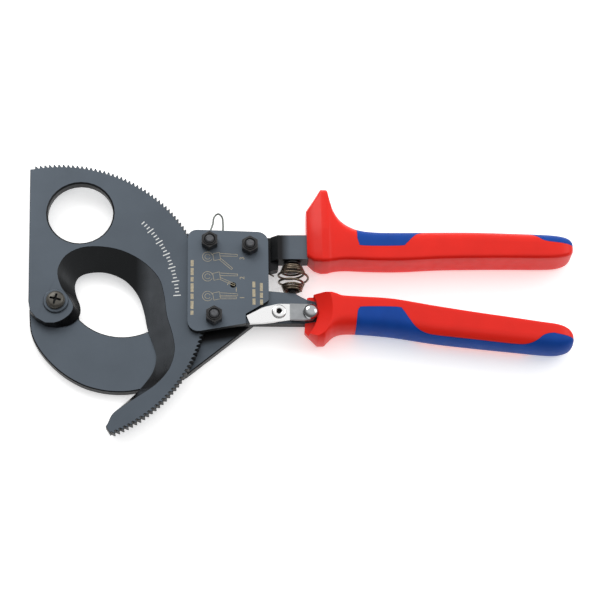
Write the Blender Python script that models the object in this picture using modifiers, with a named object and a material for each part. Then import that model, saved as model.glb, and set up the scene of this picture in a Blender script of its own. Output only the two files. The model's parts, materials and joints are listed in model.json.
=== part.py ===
"""Ratchet cable cutter with two-colour grips, 280 mm long, built from its separate pieces.

The tool lies flat on its back. The origin is on the blade pivot, at the back face of the
fixed blade: +X runs towards the handles, +Y to the side of the tall thumb guard, +Z to the
front of the tool. Sizes below are in millimetres and are turned into metres by MM.
"""

import math

import bmesh
import bpy
from mathutils import Matrix, Vector

MM = 0.001
GAP = 0.3

# Layers through the thickness: fixed blade, moving blade, cover plate, nuts.
PLATE = 5.0
FIXED_TOP = PLATE
MIDDLE_BACK = FIXED_TOP + GAP
MIDDLE_FRONT = MIDDLE_BACK + PLATE
LAP_TOP = MIDDLE_BACK + 2.2
PAWL_BACK = LAP_TOP + GAP
PAWL_FRONT = PAWL_BACK + 2.2
COVER_BACK = MIDDLE_FRONT + GAP
COVER_FRONT = COVER_BACK + 3.0
NUT_BACK = COVER_FRONT + GAP
NUT_FRONT = NUT_BACK + 5.0

# Ratchet ring on the moving blade.
ROOT_RADIUS = 75.0
TIP_RADIUS = 76.4
TOOTH_PITCH = 1.8
FIRST_TOOTH = 99.9
TOOTH_COUNT = 93
TEETH_AT_DRIVE_PAWL = 57
TEETH_AT_RETAINING_PAWL = 51

# Fasteners and their places (X, Y).
BOLT_RADIUS = 2.3
BORE_RADIUS = BOLT_RADIUS + GAP
HEAD_RADIUS = 4.6
HEAD_DEPTH = 2.4
BOLT_END = NUT_FRONT + 0.5
NUT_FLATS = 8.0
HANDLE_PIVOT = (79.7, -9.8)
BODY_BOLTS = {"front": (77.4, 30.9), "rear": (97.9, 28.4)}
BUSH_RADIUS = 5.0
BUSH_FLANGE = 6.4
SCREW_HEAD = 4.8
PIVOT_NUT = 6.6
PIVOT_NUT_DEPTH = 2.3
PIVOT_NUT_FLOOR = 0.8

# Cutting bowl of the fixed blade and the round window of the moving blade.
BOWL_CENTRE = (33.5, 13.0)
BOWL_RADIUS = 30.2
BOWL_BEVEL = 9.0
WINDOW_CENTRE = (11.1, 48.9)
WINDOW_RADIUS = 16.75
WINDOW_CHAMFER = 0.6
LEVEL = 0.9999
EDGE_LAND = 0.4

# Pawls: pivots, and how far each stands back from the meshed position at rest.
DRIVE_PIVOT = (89.3, 7.5)
DRIVE_LIFT = 4.5
RETAINING_LIFT = 4.0
PIN_RADIUS = 1.6

# Lock lever.
RIVET = (112.4, -6.5)
LEVER_THICKNESS = 2.0
LEVER_RISE = 1.2
KNOB = (127.6, -7.2)
KNOB_RADIUS = 3.6
LEVER_SWEEP = 19.9

# Return spring between the tangs.
TANG_EDGE = 21.6
SPRING_X = 119.6
SPRING_Z = 8.9
SPRING_TOP = 20.2
SPRING_BOTTOM = 5.4
SPRING_TURNS = 8.5
SPRING_WIRE = 0.6
SPRING_END_RADIUS = 3.9
SPRING_BULGE = 3.9

# Grips.
GRIP_MIDDLE = 9.7
GRIP_HALF = 9.7

STEEL = (0.115, 0.135, 0.155)
PARTS = None
CUTTERS = None
MATERIALS = {}


def clear_scene():
    for old in list(bpy.context.scene.objects):
        bpy.data.objects.remove(old, do_unlink=True)


def new_collection(name):
    collection = bpy.data.collections.new(name)
    bpy.context.scene.collection.children.link(collection)
    return collection


def add_material(name, colour, roughness, metallic):
    material = bpy.data.materials.new(name)
    material.use_nodes = True
    shader = material.node_tree.nodes["Principled BSDF"]
    shader.inputs["Base Color"].default_value = (*colour, 1.0)
    shader.inputs["Roughness"].default_value = roughness
    shader.inputs["Metallic"].default_value = metallic
    material.diffuse_color = (*colour, 1.0)
    MATERIALS[name] = material


def place(obj, material=None, smooth=35.0):
    """Puts an object among the parts, or among the hidden cutters when it has no material."""
    for holder in list(obj.users_collection):
        holder.objects.unlink(obj)
    if material is None:
        CUTTERS.objects.link(obj)
        obj.hide_render = True
        obj.display_type = "WIRE"
        return obj
    PARTS.objects.link(obj)
    obj.data.materials.clear()
    obj.data.materials.append(MATERIALS[material])
    if obj.type == "MESH":
        obj.data.shade_smooth()
        obj.data.set_sharp_from_angle(angle=math.radians(smooth))
    return obj


def polar(radius, degrees, centre=(0.0, 0.0)):
    angle = math.radians(degrees)
    return (centre[0] + radius * math.cos(angle), centre[1] + radius * math.sin(angle))


def arc(centre, radius, start, end, steps):
    return [polar(radius, start + (end - start) * i / steps, centre) for i in range(steps + 1)]


def spline(points, steps=4):
    """A smooth open line through the points."""
    ends = [points[0], *points, points[-1]]
    line = []
    for a, b, c, d in zip(ends, ends[1:], ends[2:], ends[3:]):
        for step in range(steps):
            t = step / steps
            line.append(tuple(
                0.5 * (2 * q + (r - p) * t + (2 * p - 5 * q + 4 * r - s) * t * t
                       + (3 * q - p - 3 * r + s) * t ** 3)
                for p, q, r, s in zip(a, b, c, d)
            ))
    return [*line, tuple(points[-1])]


def rounded(corners, steps=5):
    """A closed outline from (x, y, corner radius) points."""
    outline = []
    count = len(corners)
    for i, (x, y, radius) in enumerate(corners):
        here = Vector((x, y))
        if radius == 0:
            outline.append((x, y))
            continue
        back = (Vector(corners[i - 1][:2]) - here).normalized()
        ahead = (Vector(corners[(i + 1) % count][:2]) - here).normalized()
        half = back.angle(ahead) / 2
        centre = here + (back + ahead).normalized() * radius / math.sin(half)
        first = here + back * radius / math.tan(half) - centre
        turn = first.angle_signed(here + ahead * radius / math.tan(half) - centre)
        for step in range(steps + 1):
            spoke = first.copy()
            spoke.rotate(Matrix.Rotation(-turn * step / steps, 2))
            outline.append(tuple(centre + spoke))
    return outline


def plate(name, outline, bottom, top, material=None, origin=(0.0, 0.0)):
    """A flat outline with thickness, as a mesh whose origin is at the given (x, y)."""
    curve = bpy.data.curves.new(name + "_outline", "CURVE")
    curve.dimensions = "2D"
    curve.fill_mode = "BOTH"
    curve.extrude = (top - bottom) / 2 * MM
    line = curve.splines.new("POLY")
    line.points.add(len(outline) - 1)
    for point, (x, y) in zip(line.points, outline):
        point.co = ((x - origin[0]) * MM, (y - origin[1]) * MM, 0, 1)
    line.use_cyclic_u = True
    guide = bpy.data.objects.new(name + "_guide", curve)
    bpy.context.scene.collection.objects.link(guide)
    bpy.context.view_layer.update()
    graph = bpy.context.evaluated_depsgraph_get()
    mesh = bpy.data.meshes.new_from_object(guide.evaluated_get(graph))
    bpy.data.objects.remove(guide)
    weld(mesh)
    obj = bpy.data.objects.new(name, mesh)
    obj.location = (origin[0] * MM, origin[1] * MM, (bottom + top) / 2 * MM)
    return place(obj, material)


def weld(mesh):
    bm = bmesh.new()
    bm.from_mesh(mesh)
    bmesh.ops.remove_doubles(bm, verts=bm.verts, dist=1e-7)
    bmesh.ops.recalc_face_normals(bm, faces=bm.faces)
    bm.to_mesh(mesh)
    bm.free()


def cylinder(name, radius, bottom, top, at=(0.0, 0.0), material=None, tip_radius=None, sides=32):
    bm = bmesh.new()
    bmesh.ops.create_cone(
        bm, cap_ends=True, segments=sides, radius1=radius * MM,
        radius2=(radius if tip_radius is None else tip_radius) * MM, depth=(top - bottom) * MM,
    )
    mesh = bpy.data.meshes.new(name)
    bm.to_mesh(mesh)
    bm.free()
    obj = bpy.data.objects.new(name, mesh)
    obj.location = (at[0] * MM, at[1] * MM, (bottom + top) / 2 * MM)
    return place(obj, material)


def box(name, size, centre, turn=(0.0, 0.0, 0.0)):
    bm = bmesh.new()
    bmesh.ops.create_cube(bm, size=1.0, matrix=Matrix.Diagonal((*[side * MM for side in size], 1)))
    mesh = bpy.data.meshes.new(name)
    bm.to_mesh(mesh)
    bm.free()
    obj = bpy.data.objects.new(name, mesh)
    obj.location = [c * MM for c in centre]
    obj.rotation_euler = [math.radians(t) for t in turn]
    return place(obj)


def turned(name, profile, at, material, steps=32, turn=(0.0, 0.0, 0.0)):
    """A turned piece: its (radius, height) profile runs down the outer side, top to bottom."""
    mesh = bpy.data.meshes.new(name)
    verts = [(radius * MM, 0, height * MM) for radius, height in profile]
    mesh.from_pydata(verts, [(i, i + 1) for i in range(len(verts) - 1)], [])
    obj = bpy.data.objects.new(name, mesh)
    obj.location = [c * MM for c in at]
    obj.rotation_euler = [math.radians(t) for t in turn]
    screw = obj.modifiers.new("turn", "SCREW")
    screw.steps = steps
    screw.render_steps = steps
    screw.use_merge_vertices = True
    screw.merge_threshold = 0.00001
    screw.use_smooth_shade = False
    return place(obj, material)


def wire(name, points, radius, material):
    curve = bpy.data.curves.new(name, "CURVE")
    curve.dimensions = "3D"
    curve.bevel_depth = radius * MM
    curve.bevel_resolution = 2
    curve.use_fill_caps = True
    line = curve.splines.new("POLY")
    line.points.add(len(points) - 1)
    for point, place_at in zip(line.points, points):
        point.co = (*[c * MM for c in place_at], 1)
    obj = bpy.data.objects.new(name, curve)
    return place(obj, material)


def loft(name, rings, material=None):
    """A closed solid through rings of points that all have the same number of points."""
    bm = bmesh.new()
    loops = [[bm.verts.new([c * MM for c in point]) for point in ring] for ring in rings]
    for first, second in zip(loops, loops[1:]):
        for i in range(len(first)):
            j = (i + 1) % len(first)
            bm.faces.new((first[i], first[j], second[j], second[i]))
    bm.faces.new(reversed(loops[0]))
    bm.faces.new(loops[-1])
    bmesh.ops.recalc_face_normals(bm, faces=bm.faces)
    mesh = bpy.data.meshes.new(name)
    bm.to_mesh(mesh)
    bm.free()
    return place(bpy.data.objects.new(name, mesh), material)


def boolean(obj, other, operation="DIFFERENCE"):
    modifier = obj.modifiers.new(operation.lower(), "BOOLEAN")
    modifier.operation = operation
    modifier.object = other
    return obj


def bore(obj, radius, bottom, top, at):
    """Drills a round hole through the piece."""
    return boolean(obj, cylinder(f"{obj.name}_bore", radius, bottom, top, at))


def parent_to(child, parent):
    """Hangs a piece on a joint's empty and leaves it where it is."""
    bpy.context.view_layer.update()
    child.parent = parent
    child.matrix_parent_inverse = parent.matrix_world.inverted()


def joint_empty(name, at):
    empty = bpy.data.objects.new(name, None)
    empty.empty_display_size = 0.01
    empty.location = (at[0] * MM, at[1] * MM, MIDDLE_BACK * MM)
    PARTS.objects.link(empty)
    return empty


def make_materials():
    add_material("blade_steel", STEEL, 0.42, 0.6)
    add_material("tang_steel", (0.10, 0.115, 0.13), 0.45, 0.6)
    add_material("black_steel", (0.035, 0.035, 0.038), 0.35, 0.8)
    add_material("spring_steel", (0.16, 0.135, 0.11), 0.35, 0.9)
    add_material("bright_steel", (0.75, 0.77, 0.78), 0.25, 1.0)
    add_material("screw_steel", (0.38, 0.36, 0.33), 0.35, 1.0)
    add_material("red_plastic", (0.72, 0.022, 0.012), 0.40, 0.0)
    add_material("blue_soft", (0.008, 0.07, 0.33), 0.60, 0.0)


def tooth_root(index):
    """The angle at which the steep flank of a tooth starts."""
    return FIRST_TOOTH - TOOTH_PITCH * index


def teeth():
    """The toothed rim, clockwise: steep flank, narrow crest, slope down to the next root."""
    rim = []
    for index in range(TOOTH_COUNT):
        start = tooth_root(index)
        rim += [polar(ROOT_RADIUS, start), polar(TIP_RADIUS, start - 0.15)]
        rim += [polar(TIP_RADIUS, start - 0.5), polar(ROOT_RADIUS, start - 1.35)]
    return rim


def moving_blade():
    """Toothed sickle with a bevelled inner edge. Each bevel pair is (cutting edge, face edge)."""
    bevel = spline([
        (27.3, -64.5, 27.5, -64.5), (28.9, -59.6, 29.8, -59.6), (33.0, -55.0, 35.2, -55.2),
        (38.5, -50.0, 42.0, -50.5), (44.3, -43.6, 50.5, -44.4), (49.2, -36.1, 57.0, -36.5),
        (50.7, -28.1, 59.8, -27.0), (48.6, -20.5, 58.8, -18.0), (46.0, -13.0, 55.8, -7.5),
        (44.3, -4.4, 54.3, 3.5), (41.1, 4.9, 51.2, 13.3), (34.4, 13.1, 42.0, 22.8),
        (25.1, 17.3, 29.5, 28.8), (16.5, 17.3, 14.8, 29.9), (11.0, 14.9, 5.0, 25.6),
        (9.1, 10.0, 0.6, 17.2), (10.1, 4.4, 2.4, 8.6), (11.9, -0.4, 6.2, 3.0),
        (12.2, -4.6, 8.9, -2.2), (10.5, -8.4, 7.6, -6.6), (6.4, -11.2, 3.4, -10.2),
        (0.5, -12.3, -0.6, -11.7),
    ])
    hub = [(-5.0, -11.6), (-9.6, -8.9), (-12.8, -5.0), (-13.7, 0.0)]
    rim = teeth()
    back = [*rim, (28.6, -69.6), (26.5, -66.2), *[pair[:2] for pair in bevel], *hub, (-15.4, 73.6)]
    front = {pair[:2]: pair[2:] for pair in bevel}
    blade = plate("moving_blade", back, MIDDLE_BACK, MIDDLE_BACK + EDGE_LAND, "blade_steel")
    raise_face(blade, front, PLATE - EDGE_LAND)
    rim_top, rim_foot = MIDDLE_FRONT + 1.0, MIDDLE_FRONT - WINDOW_CHAMFER
    window = turned("window_cutter", [
        (0, rim_top), (WINDOW_RADIUS + rim_top - rim_foot, rim_top), (WINDOW_RADIUS, rim_foot),
        (WINDOW_RADIUS, MIDDLE_BACK - 1.0), (0, MIDDLE_BACK - 1.0),
    ], (*WINDOW_CENTRE, 0), None)
    boolean(blade, window)
    bore(blade, BUSH_RADIUS + GAP, MIDDLE_BACK - 1, MIDDLE_FRONT + 1, (0, 0))
    return blade


def raise_face(blade, front, height):
    """Draws the front face up from the edge land and pulls its bevelled side back.

    The front and the back are left whole, so that the Booleans after it cut them cleanly.
    """
    bm = bmesh.new()
    bm.from_mesh(blade.data)
    top = max(vert.co.z for vert in bm.verts)
    caps = [face for face in bm.faces if all(vert.co.z > top - 1e-6 for vert in face.verts)]
    moved = bmesh.ops.extrude_face_region(bm, geom=caps, use_keep_orig=False)["geom"]
    for vert in [item for item in moved if isinstance(item, bmesh.types.BMVert)]:
        vert.co.z += height * MM
        for edge_point, face_point in front.items():
            if (vert.co.xy - Vector(edge_point) * MM).length < 1e-6:
                vert.co.x, vert.co.y = face_point[0] * MM, face_point[1] * MM
                break
    bmesh.ops.delete(bm, geom=[face for face in caps if face.is_valid], context="FACES")
    bm.normal_update()
    inner = [edge for edge in bm.edges if all(abs(face.normal.z) > LEVEL for face in edge.link_faces)]
    bmesh.ops.dissolve_edges(bm, edges=inner, use_verts=False)
    bmesh.ops.recalc_face_normals(bm, faces=bm.faces)
    bm.to_mesh(blade.data)
    bm.free()


def fixed_blade():
    """Crescent blade whose tail widens into the back plate of the body."""
    outer = spline([
        (-13.6, -3.0), (-12.6, -14.0), (-9.5, -21.5), (-5.0, -28.0), (0.5, -33.8), (6.5, -38.6),
        (13.5, -42.6), (20.0, -44.9), (27.0, -46.3), (35.0, -46.6), (42.0, -45.6), (54.0, -42.9),
        (66.0, -37.7),
    ])
    body = rounded([
        (104.6, -10.9, 2.0), (106.8, 36.3, 5.0), (66.3, 37.6, 4.5), (64.4, 20.0, 12.0),
    ])
    bowl = arc(BOWL_CENTRE, BOWL_RADIUS, -2.0, -136.0, 28)
    hub = spline([(11.3, -5.2), (11.3, -0.5), (9.3, 4.8), (6.2, 9.2), (0.0, 11.8), (-7.0, 10.6),
                  (-12.0, 5.5)])
    blade = plate("fixed_blade", [*outer, *body, *bowl, *hub], 0.0, FIXED_TOP, "blade_steel")
    boolean(blade, bowl_bevel())
    bore(blade, BUSH_RADIUS + GAP, -1, FIXED_TOP + 1, (0, 0))
    bore(blade, PIVOT_NUT + GAP, -1, PIVOT_NUT_DEPTH + GAP, (0, 0))
    for at in [*BODY_BOLTS.values(), HANDLE_PIVOT]:
        bore(blade, BORE_RADIUS, -1, FIXED_TOP + 1, at)
        sink = cylinder(
            "countersink", HEAD_RADIUS + GAP + 1.0, -1.0, HEAD_DEPTH + GAP, at,
            tip_radius=BORE_RADIUS - 0.1,
        )
        boolean(blade, sink)
    return blade


def bowl_bevel():
    """Wedge that grinds the back of the bowl down to its cutting edge."""
    rings = []
    for step in range(25):
        angle = -138.0 + 118.0 * step / 24
        section = [
            (BOWL_RADIUS - 3.0, -1.0), (BOWL_RADIUS + BOWL_BEVEL + 2.0, -1.0),
            (BOWL_RADIUS - 3.0, FIXED_TOP + 0.6),
        ]
        rings.append([(*polar(radius, angle, BOWL_CENTRE), z) for radius, z in section])
    return loft("bowl_bevel", rings)


def cover_plate():
    outline = rounded([
        (66.3, 38.3, 4.5), (107.3, 36.8, 5.5), (107.3, -0.9, 2.0), (95.6, -8.1, 0.6),
        (95.6, -13.2, 0.6), (66.3, -18.4, 5.5),
    ])
    cover = plate("cover_plate", outline, COVER_BACK, COVER_FRONT, "blade_steel")
    for at in [*BODY_BOLTS.values(), HANDLE_PIVOT]:
        bore(cover, BORE_RADIUS, COVER_BACK - 1, COVER_FRONT + 1, at)
    bore(cover, 1.5, COVER_BACK - 1, COVER_FRONT + 1, DRIVE_PIVOT)
    return cover


def bolt_set(label, at):
    """One countersunk bolt from the back and its nut on the cover plate."""
    turned(
        f"{label}_bolt",
        [(0, BOLT_END), (BOLT_RADIUS - 0.5, BOLT_END), (BOLT_RADIUS, BOLT_END - 0.5),
         (BOLT_RADIUS, HEAD_DEPTH), (HEAD_RADIUS, 0.1), (HEAD_RADIUS, 0.0), (0, 0.0)],
        (*at, 0.0), "black_steel", steps=24,
    )
    nut = cylinder(
        f"{label}_nut", NUT_FLATS / math.sqrt(3), NUT_BACK, NUT_FRONT, at, "black_steel", sides=6
    )
    bore(nut, BORE_RADIUS, NUT_BACK - 1, NUT_FRONT + 1, at)
    chamfer = cylinder(
        f"{label}_nut_chamfer", 9.0, NUT_BACK - 3.2, NUT_FRONT, at, tip_radius=NUT_FLATS / 2 - 0.2
    )
    boolean(nut, chamfer, "INTERSECT")


def blade_pivot():
    """Bush, screw and flush blind nut that the moving blade turns on."""
    flange_back = MIDDLE_FRONT + GAP
    flange_front = flange_back + 0.9
    turned(
        "blade_pivot_bush",
        [(BORE_RADIUS, flange_front), (BUSH_FLANGE - 0.4, flange_front),
         (BUSH_FLANGE, flange_front - 0.4), (BUSH_FLANGE, flange_back),
         (BUSH_RADIUS, flange_back), (BUSH_RADIUS, PIVOT_NUT_DEPTH + GAP),
         (BORE_RADIUS, PIVOT_NUT_DEPTH + GAP), (BORE_RADIUS, flange_front)],
        (0, 0, 0), "screw_steel",
    )
    head = flange_front + GAP
    screw = turned(
        "blade_pivot_screw",
        [(0, head + 2.5), (2.2, head + 2.4), (3.6, head + 1.9), (4.4, head + 1.2),
         (SCREW_HEAD, head + 0.4), (SCREW_HEAD, head), (BOLT_RADIUS, head),
         (BOLT_RADIUS, PIVOT_NUT_FLOOR + GAP), (0, PIVOT_NUT_FLOOR + GAP)],
        (0, 0, 0), "screw_steel",
    )
    for turn in (-14.0, 76.0):
        slot = box(f"cross_slot_{turn:.0f}", (5.0, 1.1, 3.0), (0, 0, head + 2.5), (0, 0, turn))
        boolean(screw, slot)
    nut = cylinder("blade_pivot_nut", PIVOT_NUT, 0.0, PIVOT_NUT_DEPTH, (0, 0), "black_steel")
    bore(nut, BORE_RADIUS, PIVOT_NUT_FLOOR, PIVOT_NUT_DEPTH + 1, (0, 0))


def upper_tang():
    """Lever of the fixed handle: a lapped neck between the plates, then a thick bar."""
    neck = plate(
        "upper_tang",
        rounded([(70.8, 35.7, 2.0), (112.0, 34.9, 0), (114.0, 34.9, 0), (114.0, TANG_EDGE, 0),
                 (112.6, TANG_EDGE, 0), (112.4, 17.6, 1.5), (108.0, 16.4, 1.0), (107.0, 20.6, 1.0),
                 (96.0, 21.2, 4.0), (76.2, 23.6, 2.0)]),
        MIDDLE_BACK, MIDDLE_FRONT, "tang_steel",
    )
    bar_front = 2 * GRIP_MIDDLE - MIDDLE_BACK
    bar = plate(
        "upper_tang_bar",
        rounded([(108.6, 34.9, 0), (127.0, 34.9, 2.0), (132.0, 33.4, 3.0), (234.0, 33.4, 3.0),
                 (234.0, 24.2, 3.0), (132.0, 24.2, 3.0), (127.0, TANG_EDGE, 2.0), (108.6, TANG_EDGE, 0)]),
        MIDDLE_BACK, bar_front,
    )
    ramp = box("upper_tang_ramp", (14.0, 30.0, 8.0), (107.0, 28.0, 15.0), (0, -40.0, 0))
    boolean(bar, ramp)
    boolean(neck, bar, "UNION")
    lap = box("upper_tang_lap", (30.0, 30.0, 6.0), (78.0, 29.0, LAP_TOP + 3.0))
    boolean(neck, lap)
    for at in BODY_BOLTS.values():
        bore(neck, BORE_RADIUS, MIDDLE_BACK - 1, MIDDLE_FRONT + 1, at)
    return neck


def lower_tang():
    """Lever of the moving handle, lapped where the drive pawl rides on it."""
    hub = arc(HANDLE_PIVOT, 3.5, 100.0, 262.0, 10)
    crook = arc(DRIVE_PIVOT, 5.0, 20.0, 165.0, 8)
    outline = [
        *hub, (98.0, -11.9), (126.0, -12.2), (134.0, -10.8), (232.0, -24.0), (233.6, -22.0),
        (232.8, -15.8), (231.0, -14.6), (150.0, -3.2), (134.0, -0.9), (126.5, 0.9), (123.4, 2.6),
        (121.0, 4.2), (107.0, 5.6), (97.5, 10.4), *crook, (80.6, -4.0),
    ]
    tang = plate("lower_tang", outline, MIDDLE_BACK, MIDDLE_FRONT, "tang_steel", HANDLE_PIVOT)
    lap = box("lower_tang_lap", (30.0, 50.0, 6.0), (80.5, 2.0, LAP_TOP + 3.0))
    boolean(tang, lap)
    bore(tang, BORE_RADIUS, MIDDLE_BACK - 1, MIDDLE_FRONT + 1, HANDLE_PIVOT)
    bore(tang, PIN_RADIUS + GAP, MIDDLE_BACK - 1, MIDDLE_FRONT + 1, DRIVE_PIVOT)
    bore(tang, 1.6 + GAP, MIDDLE_BACK - 1, MIDDLE_FRONT + 1, RIVET)
    return tang


def pawl_tip(tooth, phase):
    """Wedge that stands in the gap above a tooth, clear of both flanks."""
    start = tooth_root(tooth) + phase
    return [
        polar(76.75, start + 1.15), polar(75.75, start + 0.32), polar(75.75, start + 0.05),
        polar(76.75, start - 0.1),
    ]


def drive_pawl():
    """Drawn in mesh with the ring, then swung back on its pin."""
    tip = pawl_tip(TEETH_AT_DRIVE_PAWL, 0.33)
    outline = [
        *tip, (tip[-1][0] + 1.4, tip[-1][1] - 1.2), *arc(DRIVE_PIVOT, 4.2, -65.0, 135.0, 14),
        (81.5, 5.4), (tip[0][0] + 1.3, tip[0][1] + 0.8),
    ]
    pawl = plate("drive_pawl", outline, PAWL_BACK, PAWL_FRONT, "black_steel", DRIVE_PIVOT)
    pawl.rotation_euler.z = math.radians(DRIVE_LIFT)
    return bore(pawl, PIN_RADIUS + GAP, PAWL_BACK - 1, PAWL_FRONT + 1, DRIVE_PIVOT)


def retaining_pawl():
    """Hangs on the front body bolt, its tip pointing down at the ring."""
    pivot = BODY_BOLTS["front"]
    tip = pawl_tip(TEETH_AT_RETAINING_PAWL, 0.05)
    outline = [
        *tip, (tip[-1][0] + 2.6, tip[-1][1] - 0.2), (82.6, 24.0),
        *arc(pivot, 4.8, -30.0, 205.0, 16), (tip[0][0] + 0.6, tip[0][1] + 6.0),
    ]
    pawl = plate("retaining_pawl", outline, PAWL_BACK, PAWL_FRONT, "black_steel", pivot)
    pawl.rotation_euler.z = math.radians(RETAINING_LIFT)
    return bore(pawl, BORE_RADIUS, PAWL_BACK - 1, PAWL_FRONT + 1, pivot)


def release_wire():
    """Hairpin loop that lifts the retaining pawl by hand."""
    height = (PAWL_BACK + PAWL_FRONT) / 2
    line = spline([
        (77.4, 36.4), (77.9, 39.7), (79.1, 43.5), (79.6, 47.0), (81.7, 49.1), (83.8, 47.3),
        (84.3, 43.5), (84.3, 39.7), (84.4, 36.6), (83.3, 33.8),
    ], 3)
    return wire("release_wire", [(x, y, height) for x, y in line], 0.5, "bright_steel")


def pawl_spring():
    """Bent wire from the ear of the upper tang to the back of the drive pawl."""
    height = (PAWL_BACK + PAWL_FRONT) / 2
    line = spline([(110.2, 14.2), (107.9, 15.5), (105.6, 17.8), (102.4, 19.2), (97.4, 17.0),
                   (95.6, 13.4)], 3)
    return wire("pawl_spring", [(x, y, height) for x, y in line], 0.4, "spring_steel")


def lock_lever():
    """Thin lever with a bend before its round thumb end."""
    bottom = COVER_BACK
    top = bottom + LEVER_THICKNESS
    nose = plate(
        "lock_lever",
        rounded([(96.0, -8.7, 0.4), (104.6, -4.1, 12.0), (112.0, -2.3, 12.0), (118.6, -2.4, 0),
                 (118.6, -11.1, 0), (112.0, -11.6, 8.0), (105.0, -12.4, 8.0), (97.6, -12.8, 0.5)]),
        bottom, top, "bright_steel", RIVET,
    )
    thumb = plate(
        "lock_lever_thumb",
        [(117.8, -2.6), (117.8, -11.1), *arc(KNOB, 4.3, -85.0, 85.0, 12)],
        bottom + LEVER_RISE, top + LEVER_RISE,
    )
    boolean(nose, thumb, "UNION")
    bore(nose, 1.6 + GAP, bottom - 1, top + 1, RIVET)
    bore(nose, 1.2 + GAP, bottom - 1, top + LEVER_RISE + 1, KNOB)
    turned(
        "lock_lever_rivet",
        [(0.9, top + 0.9), (1.9, top + 1.1), (3.3, top + 0.6), (3.4, top + GAP), (1.6, top + GAP),
         (1.6, MIDDLE_BACK + 0.2), (0.9, MIDDLE_BACK + 0.2), (0.9, top + 0.9)],
        (*RIVET, 0), "bright_steel", steps=24,
    )
    seat = top + LEVER_RISE + GAP
    turned(
        "lock_lever_knob",
        [(0, seat + 2.6), (1.5, seat + 2.4), (2.7, seat + 1.7), (3.4, seat + 0.8),
         (KNOB_RADIUS, seat), (1.2, seat), (1.2, bottom + LEVER_RISE), (0, bottom + LEVER_RISE)],
        (*KNOB, 0), "bright_steel", steps=24,
    )
    return nose


def return_spring():
    """Barrel spring standing along Y between the pegs of the two tangs."""
    steps = round(SPRING_TURNS * 12)
    points = []
    for step in range(steps + 1):
        t = step / steps
        angle = 2 * math.pi * SPRING_TURNS * t
        radius = SPRING_END_RADIUS + SPRING_BULGE * math.sin(math.pi * t) ** 1.6
        height = SPRING_BOTTOM + SPRING_WIRE + t * (SPRING_TOP - SPRING_BOTTOM - 2 * SPRING_WIRE)
        points.append((
            SPRING_X + radius * math.cos(angle), height, SPRING_Z + radius * math.sin(angle)
        ))
    return wire("return_spring", points, SPRING_WIRE, "spring_steel")


def spring_pegs():
    """Flanged pegs that hold the ends of the return spring."""
    turned(
        "upper_spring_peg",
        [(0, 5.0), (1.6, 5.0), (2.4, 4.2), (2.4, 0.8), (4.4, 0.8), (4.4, 0.0), (0, 0.0)],
        (SPRING_X, TANG_EDGE - GAP, SPRING_Z), "black_steel", 24, (90, 0, 0),
    )
    return turned(
        "lower_spring_peg",
        [(0, 4.0), (1.6, 4.0), (2.4, 3.2), (2.4, 0.0), (0, 0.0)],
        (SPRING_X, SPRING_BOTTOM - 0.2, SPRING_Z), "black_steel", 24, (-90, 0, 0),
    )


def grip_ring(x, bottom, top, half, square, taper_from=36.0):
    """One cross-section of a grip; above taper_from a tall guard gets thinner."""
    middle = (top + bottom) / 2
    reach = (top - bottom) / 2
    ring = []
    for step in range(24):
        angle = 2 * math.pi * (step + 0.5) / 24
        side = math.copysign(abs(math.cos(angle)) ** (2 / square), math.cos(angle))
        depth = math.copysign(abs(math.sin(angle)) ** (2 / square), math.sin(angle))
        y = middle + reach * side
        thin = 1.0 - 0.012 * max(0.0, y - taper_from)
        ring.append((x, y, GRIP_MIDDLE + half * depth * thin))
    return ring


def grip_body(name, stations, material=None):
    """Each station is (x, bottom, top, half thickness, squareness)."""
    return loft(name, [grip_ring(*station) for station in stations], material)


UPPER_GRIP = [
    (127.2, 22.6, 49.4, 6.6, 5.0), (129.2, 20.2, 52.4, 8.4, 5.0), (131.6, 19.2, 56.2, 9.3, 5.0),
    (134.4, 18.7, 61.5, 9.7, 5.0), (137.8, 18.8, 61.2, 9.7, 5.0), (139.4, 19.1, 55.0, 9.6, 4.6),
    (141.2, 19.4, 49.0, 9.5, 4.2), (144.5, 19.8, 43.8, 9.4, 3.8), (149.0, 19.9, 40.3, 9.3, 3.6),
    (154.0, 19.7, 38.2, 9.2, 3.6), (162.0, 19.4, 37.1, 9.2, 3.6), (176.0, 19.4, 36.9, 9.2, 3.6),
    (195.0, 20.4, 37.1, 9.2, 3.6), (212.0, 20.7, 37.1, 9.2, 3.6), (230.0, 20.8, 36.6, 9.2, 3.6),
    (246.0, 21.0, 35.9, 9.2, 3.6), (253.5, 21.5, 35.2, 9.0, 3.4), (258.6, 23.2, 33.6, 8.4, 3.0),
    (262.2, 25.8, 31.4, 6.6, 2.6), (263.8, 27.8, 29.6, 4.4, 2.2),
]
LOWER_GRIP = [
    (125.2, -16.8, 0.9, 7.2, 5.0), (127.6, -19.2, 2.0, 8.8, 5.0), (130.8, -22.4, 2.2, 9.7, 4.6),
    (133.4, -23.1, 2.2, 9.7, 4.4), (135.8, -22.0, 2.1, 9.7, 4.4), (140.0, -18.4, 1.5, 9.5, 4.0),
    (145.0, -17.0, 0.3, 9.3, 3.8), (154.0, -17.2, -0.3, 9.2, 3.6), (170.0, -18.8, -1.5, 9.2, 3.6),
    (190.0, -22.1, -5.1, 9.2, 3.6), (210.0, -24.6, -8.5, 9.2, 3.6), (230.0, -26.8, -11.6, 9.2, 3.6),
    (244.0, -28.3, -14.0, 9.2, 3.6), (251.0, -28.5, -15.4, 9.0, 3.4), (256.0, -27.0, -17.4, 8.4, 3.0),
    (259.2, -24.6, -19.6, 6.6, 2.6), (260.4, -22.8, -21.0, 4.4, 2.2),
]
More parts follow.
